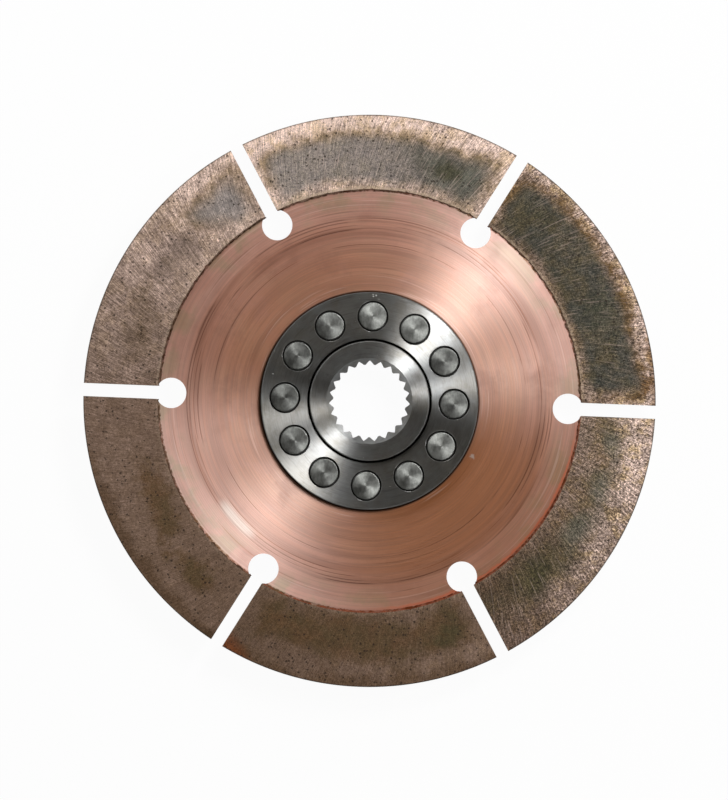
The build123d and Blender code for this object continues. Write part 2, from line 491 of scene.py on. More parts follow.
def make_heat_group():
    """A heat-stained patch on a lining, and the line round it.

    The first four values are how far the patch stays from the rim, the inner edge and the two
    slots, in millimetres. Wander is how far its outline strays, and Broken opens holes in it.
    """
    given, result = new_group("Heat Patch", ("Patch", "Border"), Rim=4.0, Inner=1.0, First=3.0, Second=3.0,
                              Wander=3.0, Broken=0.0, Soft=1.5)
    vector, soft = given["Vector"], given["Soft"]
    margins = use_group("Lining Margins", vector)
    inside = difference(margins["Rim"], given["Rim"])
    for side, roundness in (("Inner", 3.0), ("First", 7.0), ("Second", 7.0)):
        distance = difference(margins[side], given[side])
        inside = calculate("SMOOTH_MIN", inside, distance, roundness)
    stray = difference(noise(vector, 120.0, 5.0, 0.7), 0.5)
    slow = difference(noise(vector, 55.0, 1.0), 0.5)
    stray = calculate("ADD", slow, stray)
    inside = calculate("MULTIPLY_ADD", stray, given["Wander"], inside)
    holes = difference(0.56, noise(vector, 210.0, 5.0, 0.7))
    holes = product(holes, given["Broken"])
    inside = difference(inside, highest(holes, 0.0))
    line = calculate("ABSOLUTE", calculate("MULTIPLY_ADD", soft, -0.15, inside))
    border = product(ramp(line, product(soft, 1.25), 0.0), ramp(margins["Inner"], 3.0, 12.0, 0.25, 1.0),
                     ramp(noise(vector, 240.0, 5.0, 0.75), 0.34, 0.60, 0.45, 1.0))
    link_all(result, Patch=ramp(inside, product(soft, -0.5), soft), Border=border)


def make_groups():
    """All the node groups, each once."""
    make_polar_group()
    make_turning_group()
    make_grinding_group()
    make_grain_group()
    make_pore_group()
    make_painted_shade_group()
    make_margin_group()
    make_heat_group()


# ---- Materials ----


def turn_highlights(shader, strength, rotation=0.0):
    """Draws a highlight out into a fan, as grooves that run round the piece's own axis do."""
    tangent = shader.id_data.nodes.new("ShaderNodeTangent")
    tangent.direction_type = "RADIAL"
    tangent.axis = "Z"
    link_all(shader.inputs, Tangent=tangent.outputs[0])
    shader.inputs["Anisotropic"].default_value = strength
    shader.inputs["Anisotropic Rotation"].default_value = rotation


def toward(direction, azimuth, half_angle, softness):
    """1 in the sector of directions about an azimuth, and falling to 0 beyond it, in degrees."""
    middle = (cos(radians(azimuth)), sin(radians(azimuth)), 0)
    agreement = calculate_vector("DOT_PRODUCT", direction, middle, output="Value")
    return ramp(agreement, cos(radians(half_angle + softness)), cos(radians(half_angle)))


def nick(place, radius, azimuth, size):
    """A ragged spot at a radius and an azimuth, in millimetres and degrees."""
    flat = calculate_vector("MULTIPLY", place, (1 / MM, 1 / MM, 0))
    middle = (radius * cos(radians(azimuth)), radius * sin(radians(azimuth)), 0)
    distance = calculate_vector("DISTANCE", flat, middle, output="Value")
    return ramp(wander(distance, place, 1800.0, 1.2 * size), size, 0.5 * size)


def groove_line(radius, middle, half_width):
    """A ring at a radius that fades to both sides, in millimetres."""
    distance = calculate("ABSOLUTE", difference(radius, middle))
    return ramp(distance, half_width, 0.0)


def turned_steel(name, colours, line_width, shade_levels, edge_shade_radii, nicks=()):
    """Lathe-turned steel with fine rings, old oil, pale specks, and painted shade in its gaps.

    Painted shade lies between two levels, and at the edge builds up from one radius to another.
    """
    material, shader, place = new_material(name)
    marks = use_group("Turning Marks", place, Width=line_width, Run=5.0)
    radius = use_group("Polar Place", place)["Radius"]
    bottom, top = shade_levels
    painted_shade = use_group("Gap Grime", place, Top=top, Bottom=bottom)["Grime"]
    # Painted shade: dark in the gaps, and from one radius outward at the edge
    shade_mask = highest(painted_shade, ramp(radius, *edge_shade_radii, 0.0, 0.75))
    specks = use_group("Pores", place, Spacing=1.5, Size=0.06, Share=0.35)["Pores"]
    pale = product(highest(specks, *(nick(place, *spot) for spot in nicks)), 0.8)
    film = product(ramp(marks["Scuffs"], 0.35, 0.62), 0.45)
    oil = product(ramp(noise(place, 140.0, 5.0, 0.7), 0.46, 0.66), 0.24)
    tone = product(ramp(marks["Bands"], 0.3, 0.7, 0.90, 1.0), between(marks["Lines"], 0.90, 1.0),
                   between(marks["Scores"], 1.0, 0.84))
    surface = scaled(coat(colours.steel, (film, colours.steel_film)), tone)
    # Old oil is a stain; the near-black coat is painted shade
    surface = coat(surface, (oil, OLD_OIL), (shade_mask, colours.painted_shade), (pale, PALE_NICK))
    rough = build_up(0.28, (marks["Scuffs"], 0.13), (marks["Lines"], 0.03), (shade_mask, 0.35))
    dull = highest(shade_mask, pale, product(oil, 0.7))
    link_all(shader.inputs, Metallic=between(dull, 1.0, 0.0))
    turn_highlights(shader, 0.975, rotation=0.25)
    finish_surface(shader, surface, rough, marks["Lines"], 0.010 * MM)
    return material


def tinted_copper(place, radius, marks, stain, colours):
    """The plating's colour from ring to ring, with its clouds and stains."""
    blotch = noise(place, 75.0, 4.0, 0.6)
    middle_ring = ramp(radius, *MIDDLE_RING, 0.0, 0.55)
    outer_ring = ramp(radius, *OUTER_RING)
    green = product(ramp(blotch, 0.46, 0.60), ramp(radius, 58.0, 65.0, 0.08, 0.70))
    pink = ramp(blotch, 0.47, 0.36, 0.0, 0.35)
    worked = product(ramp(radius, *WORKED_RING), ramp(radius, *WORKED_RING_END))
    banded = product(ramp(marks["Bands"], 0.60, 0.40), between(worked, 0.30, 0.65))
    return coat(colours.copper, (middle_ring, colours.copper_pink), (outer_ring, colours.copper_outer),
                (green, colours.copper_tarnish), (pink, colours.copper_pink),
                (stain, colours.copper_dark), (banded, colours.copper_dark))


def front_blemishes(place, polar, marks):
    """Coats for the front face only: a rubbed streak painted pale as a highlight, and a bruise beside the
    ring.
    """
    on_front = calculate("GREATER_THAN", polar["Level"], MIDDLE_PLANE / MM)
    # Painted highlight: a rubbed streak painted near white where the lamp's highlight falls
    rubbed = product(on_front, groove_line(polar["Radius"], *RUBBED_HIGHLIGHT_BAND),
                     toward(polar["Direction"], *RUBBED_HIGHLIGHT_SECTOR), between(marks["Lines"], 0.5, 1.0), 0.8)
    bruise = product(on_front, nick(place, *BRUISE), 0.7)
    return (rubbed, RUBBED_HIGHLIGHT_COPPER), (bruise, BRUISED_COPPER)


def lining_shadow(place, radius, direction):
    """The painted shadow along the linings' inner edge, and its colour, which is reddish on one side."""
    edge = ramp(wander(radius, place, 1100.0, 0.4), *LINING_SHADOW_RADII)
    edge = product(edge, ramp(noise(place, 600.0), 0.35, 0.60, 0.5, 1.0))
    return edge, blend_colour(toward(direction, *RED_SHADOW_SECTOR), LINING_SHADOW_COLOUR, RED_LINING_SHADOW_COLOUR)


def copper_plate_material(colours):
    """Copper plating over a turned plate: fine rings, worn streaks, stains, and one side painted darker as
    shade.
    """
    material, shader, place = new_material("copper_plate")
    polar = use_group("Polar Place", place)
    radius, direction = polar["Radius"], polar["Direction"]
    marks = use_group("Turning Marks", place, Width=0.44, Run=1.5)
    bright_marks = use_group("Turning Marks", place, Width=0.36, Run=2.6)
    stain = product(ramp(marks["Scuffs"], 0.50, 0.72), ramp(radius, 66.0, 52.0, 0.25, 0.6))
    scored = product(marks["Scores"], ramp(radius, 50.0, 55.0, 0.25, 1.0))
    # Painted shade: the lower-right side is painted darker and more saturated
    shaded_side = product(toward(direction, *SHADED_SIDE_SECTOR), ramp(radius, 52.0, 60.0, 1.0, 0.55))
    tone = product(between(marks["Lines"], 0.90, 1.07), between(scored, 1.0, 0.84),
                   between(bright_marks["Scores"], 1.0, 1.08), between(shaded_side, 1.0, 0.90))
    surface = tinted_copper(place, radius, marks, stain, colours)
    surface = coat(surface, (product(shaded_side, 0.75), colours.copper_shaded_side))
    polished = highest(ramp(radius, *POLISHED_INSIDE), ramp(radius, *POLISHED_OUTSIDE, 0.0, 0.8))
    polished = product(polished, bright_marks["Scores"], 0.34)
    groove = highest(*(groove_line(radius, *ring) for ring in COPPER_GROOVES))
    groove = product(groove, ramp(bright_marks["Bands"], 0.42, 0.56))
    # Painted shadow along the linings' inner edge, reddish on the lower-right side
    edge, edge_shadow_colour = lining_shadow(place, radius, direction)
    # Painted reflection: a bright orange-red line along the linings' inner edge, on the lower-right side
    # only
    orange_reflection = product(ramp(wander(radius, place, 420.0, 0.7), *ORANGE_REFLECTION_START), ramp(radius, *ORANGE_REFLECTION_END),
                        toward(direction, *ORANGE_REFLECTION_SECTOR), 0.85)
    # Painted shade in the gap round the hub, and a painted shadow under the retaining ring's edge
    gap = highest(ramp(radius, *HUB_GAP_SHADE), ramp(radius, *RING_EDGE_SHADOW, 0.0, 0.85))
    surface = coat(scaled(surface, tone), (polished, POLISHED_COPPER),
                   (product(groove, 0.5), GROOVED_COPPER), *front_blemishes(place, polar, marks),
                   (product(edge, 0.75), edge_shadow_colour), (orange_reflection, ORANGE_REFLECTION), (gap, colours.painted_shade))
    rough = build_up(0.42, (marks["Lines"], 0.06), (stain, 0.12), (ramp(radius, *OUTER_RING), 0.05),
                     (shaded_side, 0.06))
    height = build_up(marks["Lines"], (groove, -1.5))
    metal = highest(product(scored, 0.45), product(groove, 0.6), edge, gap)
    metal = difference(between(metal, 0.38, 1.0), product(orange_reflection, edge, 0.5))
    link_all(shader.inputs, Metallic=metal)
    shader.inputs["IOR"].default_value = 3.5
    turn_highlights(shader, 0.94, rotation=0.25)
    finish_surface(shader, surface, rough, height, 0.012 * MM)
    return material


def rivet_material(colours):
    """A faced rivet head: marks that fan out from its middle, rough mottling and a rim painted dark as
    shade.
    """
    material, shader, place = new_material("rivet_steel")
    cloud = noise(place, 330.0, 4.0, 0.65)
    hatch = noise(calculate_vector("MULTIPLY", place, (1600, 700, 700)), 1.0, 2.0, 0.6)
    own = noise(place, 42.0, 1.0)
    tone = product(ramp(cloud, 0.32, 0.66, 0.62, 1.05), ramp(hatch, 0.3, 0.7, 0.80, 1.08),
                   ramp(own, 0.35, 0.65, 0.75, 1.1))
    # Painted shade on the rim and down in the counterbore
    bottom, top = RIVET_SHADE_LEVELS
    shade_mask = use_group("Gap Grime", place, Top=top, Bottom=bottom)["Grime"]
    surface = coat(scaled(colours.rivet, tone), (shade_mask, colours.painted_shade))
    link_all(shader.inputs, Metallic=between(shade_mask, 1.0, 0.0))
    turn_highlights(shader, 0.62)
    finish_surface(shader, surface, build_up(0.32, (cloud, 0.22)), hatch, 0.006 * MM)
    return material


def lay_patches(surface, patches, local, grain, along):
    """Lays heat patches, each with the line round it, over a lining's colour."""
    solid = between(grain["Coarse"], 1.0, 0.94)
    for patch in patches:
        heat = use_group("Heat Patch", local, Rim=patch.rim, Inner=patch.inner, First=patch.first,
                         Second=patch.second, Wander=patch.wander, Broken=patch.broken, Soft=patch.soft)
        stain = scaled(blend_colour(grain["Cloud"], patch.cool, patch.warm), along(patch.level))
        surface = coat(surface, (product(heat["Border"], patch.border), patch.line),
                       (product(heat["Patch"], patch.amount, solid), stain))
    return surface


def lining_material(name, colours, turn, look):
    """Ground sintered lining, with its own burnished margins, heat stains and rust."""
    material, shader, place = new_material(name)
    local = make_node("Mapping", {"Vector": place, "Rotation": (0, 0, -turn)})["Vector"]
    margins = use_group("Lining Margins", local)
    ground = use_group("Grinding Marks", place, Width=0.27, Length=4.5, Twist=GRINDING_TWIST)
    crossing = use_group("Grinding Marks", place, Width=0.34, Length=6.0, Twist=look.crossing)
    pores = use_group("Pores", place, Spacing=1.1, Size=0.20, Share=look.pores)["Pores"]
    grain = use_group("Sintered Grain", place, Size=look.grain)

    def along(pair):
        return between(margins["Along"], *pair)

    rubbed = product(ramp(margins["Inner"], 1.0, 17.0, look.inner_bright, 1.0), along(look.bright),
                     vary(grain["Coarse"], look.speckle), ramp(ground["Marks"], 0.35, 0.65, 0.68, 1.20),
                     between(grain["Cloud"], 0.78, 1.15))
    tint = product(ramp(noise(place, 210.0, 4.0, 0.7), 0.44, 0.62), look.gold)
    burnished = blend_colour(tint, colours.lining_bright, colours.lining_gold)
    surface = scaled(coat(colours.lining, (rubbed, burnished)), along(look.tone))
    surface = lay_patches(surface, look.patches, local, grain, along)
    mottle = product(vary(ground["Marks"], 0.33 * look.contrast, 0.3, 0.7),
                     vary(grain["Coarse"], 0.24 * look.coarse), vary(grain["Fine"], 0.22 * look.coarse),
                     vary(grain["Cloud"], 0.10 * look.contrast))
    scratch = highest(ground["Scratches"], product(crossing["Scratches"], 0.55))
    bead = product(ramp(wander(margins["Inner"], place, 900.0, 0.5), 1.25, 0.75),
                   ramp(grain["Coarse"], 0.15, 0.75, 0.25, 1.0), look.bead)
    surface = coat(scaled(surface, mottle), (product(scratch, look.scratch), colours.lining_bright),
                   (product(pores, 0.8), OPEN_PORE), (bead, colours.lining_bead),
                   # Painted shade along the inner edge and along the rim
                   (ramp(margins["Inner"], 0.30, 0.08, 0.0, 0.8), look.lip_shade),
                   (ramp(margins["Rim"], 0.50, 0.15, 0.0, 0.7), RIM_SHADE))
    shader.inputs["Specular IOR Level"].default_value = 0.15
    rough = build_up(0.42, (ground["Marks"], 0.25))
    finish_surface(shader, surface, rough, build_up(grain["Coarse"], (pores, -1.4)), 0.04 * MM)
    return material


# ---- Modelling helpers ----


def deselect_everything():
    """Leaves edit mode and selects nothing."""
    if bpy.context.object and bpy.context.object.mode != "OBJECT":
        bpy.ops.object.mode_set(mode="OBJECT")
    bpy.ops.object.select_all(action="DESELECT")


def activate(piece):
    """Makes a piece the only selected and the active one."""
    deselect_everything()
    piece.select_set(True)
    bpy.context.view_layer.objects.active = piece


def select_parts(piece, kind, chosen):
    """In edit mode, selects the vertices or edges of a piece that a test picks."""
    bpy.ops.mesh.select_mode(type=kind)
    bpy.ops.mesh.select_all(action="DESELECT")
    mesh = bmesh.from_edit_mesh(piece.data)
    for element in mesh.verts if kind == "VERT" else mesh.edges:
        if chosen(element):
            element.select_set(True)
    mesh.select_flush_mode()
    bmesh.update_edit_mesh(piece.data)


def radius_of(vertex):
    """A vertex's distance from the shaft axis."""
    return hypot(vertex.co.x, vertex.co.y)


def apply_modifier(piece, kind, **settings):
    """Adds a modifier to a piece and applies it."""
    activate(piece)
    modifier = piece.modifiers.new(kind.lower(), kind)
    for name, value in settings.items():
        setattr(modifier, name, value)
    bpy.ops.object.modifier_apply(modifier=modifier.name)


def require_closed(piece):
    """Raises an error if a piece's surface has a gap."""
    mesh = bmesh.new()
    mesh.from_mesh(piece.data)
    loose = [edge for edge in mesh.edges if not edge.is_manifold]
    mesh.free()
    if loose:
        raise RuntimeError(f"{piece.name} has {len(loose)} open edges")


# ---- Linings ----


def make_lining_blank(sizes):
    """The first front lining with clean edges, from which the others are copied."""
    deselect_everything()
    overrun = radians(1.0)
    sweep = SLOT_PITCH + 2 * overrun
    middle = (LINING_INNER + LINING_OUTER) / 2
    bpy.ops.mesh.primitive_plane_add(size=LINING_OUTER - LINING_INNER, location=(middle, 0, LINING_BOND))
    blank = bpy.context.object
    blank.name = "lining_blank"
    bpy.ops.object.transform_apply(location=True, rotation=True, scale=True)
    bpy.ops.object.mode_set(mode="EDIT")
    select_parts(blank, "VERT", lambda vertex: vertex.co.y > 0)
    bpy.ops.mesh.delete(type="VERT")
    bpy.ops.mesh.select_all(action="SELECT")
    bpy.ops.transform.translate(value=(0, (LINING_OUTER - LINING_INNER) / 2, 0))
    bpy.ops.mesh.subdivide(number_cuts=sizes.rows - 1)
    bpy.ops.mesh.select_all(action="SELECT")
    bpy.ops.mesh.spin(steps=sizes.steps, angle=sweep, center=(0, 0, 0), axis=(0, 0, 1))
    bpy.ops.mesh.select_all(action="SELECT")
    bpy.ops.mesh.remove_doubles(threshold=WELD_DISTANCE)
    bpy.ops.mesh.extrude_region_move(TRANSFORM_OT_translate={"value": (0, 0, LINING_FACE - LINING_BOND)})
    bpy.ops.object.mode_set(mode="OBJECT")
    turned_ways = [atan2(vertex.co.y, vertex.co.x) for vertex in blank.data.vertices]
    blank.rotation_euler.z = -min(turned_ways) - overrun
    bpy.ops.object.transform_apply(location=True, rotation=True, scale=True)
    bpy.ops.object.mode_set(mode="EDIT")
    trim_at_slot(0, outward=1)
    trim_at_slot(SLOT_PITCH, outward=-1)
    round_inner_corners(blank, sizes)
    bpy.ops.mesh.select_all(action="SELECT")
    bpy.ops.mesh.normals_make_consistent(inside=False)
    bpy.ops.object.mode_set(mode="OBJECT")
    require_closed(blank)
    return blank


def trim_at_slot(angle, outward):
    """Cuts the lining straight along the edge of the slot at this angle."""
    normal = Vector((-sin(angle), cos(angle), 0)) * outward
    bpy.ops.mesh.select_all(action="SELECT")
    bpy.ops.mesh.bisect(
        plane_co=normal * SLOT_HALF_WIDTH, plane_no=normal, use_fill=True, clear_inner=True,
        threshold=WELD_DISTANCE,
    )


def round_inner_corners(blank, sizes):
    """Rounds the two upright edges where the slots meet the inner edge."""
    def is_corner(edge):
        upright = abs(edge.verts[0].co.z - edge.verts[1].co.z) > 0.5 * (LINING_FACE - LINING_BOND)
        at_inner = max(radius_of(vertex) for vertex in edge.verts) < LINING_INNER + 0.02 * MM
        return upright and at_inner and len(edge.link_faces) == 2 and edge.calc_face_angle() > radians(40)

    select_parts(blank, "EDGE", is_corner)
    bpy.ops.mesh.bevel(offset=sizes.corner, segments=5, affect="EDGES")


def copy_lining(blank, name, turn, drop):
    """A copy of the blank with its own mesh, turned about the shaft and moved along it."""
    deselect_everything()
    lining = bpy.data.objects.new(name, blank.data.copy())
    bpy.context.scene.collection.objects.link(lining)
    lining.rotation_euler.z = turn
    lining.location.z = drop
    activate(lining)
    bpy.ops.object.transform_apply(location=True, rotation=True, scale=True)
    return lining


def wear_inner_edge(lining, sizes, bond, face):
    """Breaks the inner edge into small uneven bites, and leaves both faces flat."""
    near = LINING_INNER + 0.05 * MM
    at_edge = [vertex.index for vertex in lining.data.vertices if radius_of(vertex) < near]
    lining.vertex_groups.new(name="inner_edge").add(at_edge, 1.0, "REPLACE")
    at_level = {bond: set(), face: set()}
    for vertex in lining.data.vertices:
        nearest = min(at_level, key=lambda level: abs(vertex.co.z - level))
        at_level[nearest].add(vertex.index)
    bites = bpy.data.textures.new("lining_bites", "CLOUDS")
    bites.noise_scale = sizes.ragged_scale
    bites.noise_depth = 3
    bites.contrast = 1.6
    apply_modifier(lining, "DISPLACE", texture=bites, texture_coords="LOCAL", direction="NORMAL",
                   strength=sizes.ragged, mid_level=0.5, vertex_group="inner_edge")
    activate(lining)
    bpy.ops.object.mode_set(mode="EDIT")
    for level, chosen in at_level.items():
        select_parts(lining, "VERT", lambda vertex: vertex.index in chosen)
        bpy.ops.transform.resize(value=(1, 1, 0), center_override=(0, 0, level))
    bpy.ops.object.mode_set(mode="OBJECT")
    lining.vertex_groups.clear()


def round_free_edges(lining, sizes, face):
    """A small rounding all round the free face."""
    activate(lining)
    bpy.ops.object.mode_set(mode="EDIT")

    def is_rim(edge):
        level = all(abs(vertex.co.z - face) < WELD_DISTANCE for vertex in edge.verts)
        return level and len(edge.link_faces) == 2 and edge.calc_face_angle() > radians(60)

    select_parts(lining, "EDGE", is_rim)
    bpy.ops.mesh.bevel(offset=sizes.edge_round, segments=2, affect="EDGES", clamp_overlap=True)
    bpy.ops.object.mode_set(mode="OBJECT")
    bpy.ops.object.shade_smooth_by_angle(angle=radians(20))


def finish_lining(lining, node, material):
    """Puts a lining in its CAD node's place."""
    require_closed(lining)
    lining.data.materials.clear()
    lining.data.materials.append(material)
    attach(lining, BODY)
    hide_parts(node)


# ---- The linings' looks ----


class Patch(NamedTuple):
    """A heat patch: how far it stays from the rim, the inner edge and the two slots, and its look.

    It blends two colours in clouds, and its level changes from one slot to the other. Lengths are
    in millimetres.
    """

    rim: float
    inner: float
    first: float
    second: float
    cool: tuple
    warm: tuple
    amount: float = 0.9
    soft: float = 3.5
    wander: float = 7.0
    broken: float = 0.0
    level: tuple = (1.0, 1.0)
    border: float = 0.0
    line: tuple = UMBER


class Look(NamedTuple):
    """One lining's finish. A pair runs from the first slot to the second."""

    tone: tuple
    bright: tuple
    patches: tuple
    contrast: float
    scratch: float
    pores: float
    inner_bright: float = 0.8
    coarse: float = 0.9
    gold: float = 0.5
    bead: float = 0.12
    grain: float = 0.65
    speckle: float = 0.28
    crossing: float = 0.005
    # Painted shade along the inner edge
    lip_shade: tuple = BROWN_LIP_SHADE


FRONT_LOOKS = (
    Look((0.92, 0.80), (0.95, 0.60), (
        Patch(4.2, 1.2, 2.5, 1.0, SLATE, OLIVE, amount=0.98, wander=4.5, level=(0.86, 0.80), border=1.0,
              line=OCHRE_LINE),
        Patch(16.0, 4.0, 12.0, 58.0, BLUE_SLATE, SLATE, amount=0.6, soft=5.0),
        Patch(7.0, 13.0, 10.0, 62.0, RUST, UMBER, amount=0.5, soft=4.0),
        Patch(-4.0, 20.5, -4.0, 58.0, COPPERY, UMBER, amount=0.7, soft=3.0, broken=16.0),
        Patch(9.0, 5.0, 56.0, 8.0, DARK_OLIVE, OLIVE, amount=0.7, soft=6.0),
        Patch(8.0, 6.0, 20.0, 40.0, MOSS, SLATE, amount=0.6, soft=5.0, broken=14.0),
    ), contrast=1.2, scratch=0.2, pores=0.85, inner_bright=0.3, coarse=1.7, gold=0.8, bead=0.5, speckle=0.6),
    Look((0.95, 0.97), (0.92, 1.70), (
        Patch(6.5, 2.2, 3.0, 3.0, ASH, WARM_GREY, wander=5.0, level=(0.66, 1.18), border=0.95,
              line=GOLD_LINE),
        Patch(7.5, 3.0, 2.5, 46.0, DARK_OLIVE, SLATE, soft=6.0, level=(1.4, 1.4)),
    ), contrast=1.1, scratch=0.26, pores=0.8, inner_bright=0.55, coarse=1.1, bead=0.85),
    Look((1.03, 0.94), (0.72, 0.20), (
        Patch(7.0, 2.0, 2.0, 52.0, ASH, ASH, soft=4.5, wander=5.0, level=(1.2, 1.2), border=0.9,
              line=DULL_GOLD_LINE),
        Patch(10.0, 4.0, 22.0, 34.0, MAUVE, MAUVE, amount=0.85, soft=6.0),
        Patch(10.0, 4.0, 44.0, 13.0, UMBER, UMBER, amount=0.8, soft=7.0, level=(1.2, 1.2)),
        Patch(14.0, 0.0, 26.0, 36.0, CREAM, CREAM, amount=0.5, soft=6.0),
    ), contrast=0.95, scratch=0.18, pores=0.65, gold=0.3, bead=0.3),
    Look((1.08, 1.12), (0.10, 0.06), (
        Patch(9.0, 4.0, 46.0, 10.0, MUSTARD, TAN, amount=0.8, soft=4.0, wander=10.0, broken=14.0),
        Patch(12.0, 3.0, 18.0, 26.0, MUSTARD, TAN, amount=0.75, soft=4.0, wander=10.0, broken=14.0),
        Patch(-5.0, 18.0, 72.0, -5.0, UMBER, UMBER, amount=0.8, soft=4.0, level=(0.6, 0.6)),
        Patch(-4.0, 19.5, 16.0, -4.0, BROWN, BROWN, amount=0.6, soft=3.0, broken=9.0),
    ), contrast=0.45, scratch=0.02, pores=0.7, coarse=0.75, gold=0.2),
    Look((1.03, 1.10), (0.04, 0.10), (
        Patch(7.0, 1.0, 2.0, 2.0, MUSTARD, TAN, amount=0.75, soft=5.0, wander=10.0, broken=10.0,
              level=(0.95, 0.90)),
        Patch(8.0, 4.0, 54.0, 6.0, DARK_OLIVE, UMBER, amount=0.55, soft=4.0, broken=14.0, level=(1.4, 1.4)),
        Patch(-4.0, 20.0, -4.0, -4.0, BROWN, BROWN, amount=0.55, soft=3.0, broken=12.0),
        Patch(-5.0, 17.0, -5.0, 71.0, RUST, RUST, wander=2.0),
    ), contrast=0.42, scratch=0.02, pores=0.8, coarse=0.85, lip_shade=RED_LIP_SHADE),
    Look((0.87, 0.86), (0.10, 0.85), (
        Patch(8.0, 2.5, -5.0, -5.0, OLIVE, UMBER, amount=0.75, soft=8.0, wander=5.0, level=(1.0, 1.6)),
        Patch(7.0, 2.0, 10.0, 44.0, DARK_OLIVE, OLIVE, amount=0.85, soft=6.0, level=(1.2, 1.2)),
        Patch(10.0, 6.5, 31.0, 31.5, GREEN_GREY, GREEN_GREY, amount=0.65, soft=3.0, wander=4.0),
        Patch(10.0, 6.5, 46.0, 17.0, GREEN_GREY, GREEN_GREY, amount=0.7, soft=3.0, wander=4.0),
        Patch(10.0, 6.5, 58.5, 5.0, GREEN_GREY, GREEN_GREY, amount=0.75, soft=3.0, wander=4.0),
    ), contrast=1.15, scratch=0.24, pores=0.75, inner_bright=0.28, coarse=1.8, gold=0.8, bead=0.15,
         grain=0.8, speckle=0.6, crossing=0.006, lip_shade=DULL_RED_LIP_SHADE),
)
REAR_LOOKS = tuple(reversed(FRONT_LOOKS))


# ---- Operators ----


class CLUTCH_OT_dress_hub(bpy.types.Operator):
    """Gives the hub its turned steel"""

    bl_idname = "clutch.dress_hub"
    bl_label = "Dress Hub"

    def execute(self, context):
        colours = context.scene.clutch_colours
        dress_node("hub", turned_steel("hub_steel", colours, 0.30, HUB_SHADE_LEVELS, HUB_EDGE_SHADE))
        return {"FINISHED"}


class CLUTCH_OT_dress_retaining_ring(bpy.types.Operator):
    """Gives the retaining ring its turned steel"""

    bl_idname = "clutch.dress_retaining_ring"
    bl_label = "Dress Retaining Ring"

    def execute(self, context):
        colours = context.scene.clutch_colours
        material = turned_steel("ring_steel", colours, 0.34, RING_SHADE_LEVELS, RING_EDGE_SHADE, PUNCH_MARKS)
        dress_node("retaining_ring", material)
        return {"FINISHED"}


class CLUTCH_OT_dress_core_plate(bpy.types.Operator):
    """Gives the core plate its copper plating"""

    bl_idname = "clutch.dress_core_plate"
    bl_label = "Dress Core Plate"

    def execute(self, context):
        dress_node("core_plate", copper_plate_material(context.scene.clutch_colours))
        return {"FINISHED"}


class CLUTCH_OT_dress_rivets(bpy.types.Operator):
    """Gives the rivets their spun steel"""

    bl_idname = "clutch.dress_rivets"
    bl_label = "Dress Rivets"

    def execute(self, context):
        material = rivet_material(context.scene.clutch_colours)
        for number in range(1, RIVET_COUNT + 1):
            dress_node(f"rivet_{number:02d}", material)
        return {"FINISHED"}


class CLUTCH_OT_make_linings(bpy.types.Operator):
    """Models the sintered linings of both faces"""

    bl_idname = "clutch.make_linings"
    bl_label = "Make Linings"

    def execute(self, context):
        sizes = context.scene.clutch_lining_sizes
        colours = context.scene.clutch_colours
        blank = make_lining_blank(sizes)
        faces = (
            ("front", FRONT_LOOKS, LINING_BOND, LINING_FACE, 0.0),
            ("rear", REAR_LOOKS, REAR_LINING_BOND, REAR_LINING_FACE, REAR_LINING_FACE - LINING_BOND),
        )
        for side, looks, bond, face, drop in faces:
            for number, look in enumerate(looks, start=1):
                turn = (number - 1) * SLOT_PITCH
                name = f"{side}_lining_{number}"
                lining = copy_lining(blank, f"sintered_{name}", turn, drop)
                wear_inner_edge(lining, sizes, bond, face)
                round_free_edges(lining, sizes, face)
                material = lining_material(f"sintered_{name}", colours, turn, look)
                finish_lining(lining, name, material)
        bpy.data.objects.remove(blank)
        return {"FINISHED"}


class CLUTCH_OT_set_stage(bpy.types.Operator):
    """Sets the floor, the lamps, the world and the camera"""

    bl_idname = "clutch.set_stage"
    bl_label = "Set Stage"

    def execute(self, context):
        sizes = context.scene.clutch_stage_sizes
        make_floor(sizes)
        make_lamps()
        make_world(context.scene)
        make_camera(context.scene, sizes)
        return {"FINISHED"}


def dress_node(node, material):
    """Gives a CAD node its material."""
    materials = NODES[node].data.materials
    materials.clear()
    materials.append(material)


# ---- Stage ----


def make_floor(sizes):
    """A plain pale floor that shows white to the camera and keeps the disc's shadow."""
    deselect_everything()
    bpy.ops.mesh.primitive_plane_add(size=sizes.floor_width, location=(0, 0, 0))
    floor = bpy.context.object
    floor.name = "floor"
    material = bpy.data.materials.new("pale_floor")
    material.use_nodes = True
    tree = material.node_tree
    tree.nodes.clear()
    paint = tree.nodes.new("ShaderNodeBsdfDiffuse")
    paint.inputs["Color"].default_value = (*FLOOR_PAINT, 1)
    glow = tree.nodes.new("ShaderNodeEmission")
    glow.inputs["Color"].default_value = (*WHITE, 1)
    rays = tree.nodes.new("ShaderNodeLightPath").outputs
    seen = highest(rays["Is Camera Ray"], rays["Is Glossy Ray"], rays["Is Transmission Ray"])
    share_of_glow = product(seen, 0.96)
    mix = make_node("MixShader", {0: share_of_glow, 1: paint.outputs[0], 2: glow.outputs[0]})[0]
    make_node("OutputMaterial", {"Surface": mix})
    floor.data.materials.append(material)


def make_lamp(name, azimuth, elevation, distance, width, height, power):
    """A rectangular soft lamp that faces the disc."""
    data = bpy.data.lights.new(name, "AREA")
    data.shape = "RECTANGLE"
    data.size = width
    data.size_y = height
    data.energy = power
    lamp = bpy.data.objects.new(name, data)
    bpy.context.scene.collection.objects.link(lamp)
    way = Vector((cos(azimuth) * cos(elevation), sin(azimuth) * cos(elevation), sin(elevation)))
    lamp.location = way * distance
    lamp.rotation_euler = way.to_track_quat("Z", "Y").to_euler()
    lamp.visible_camera = False


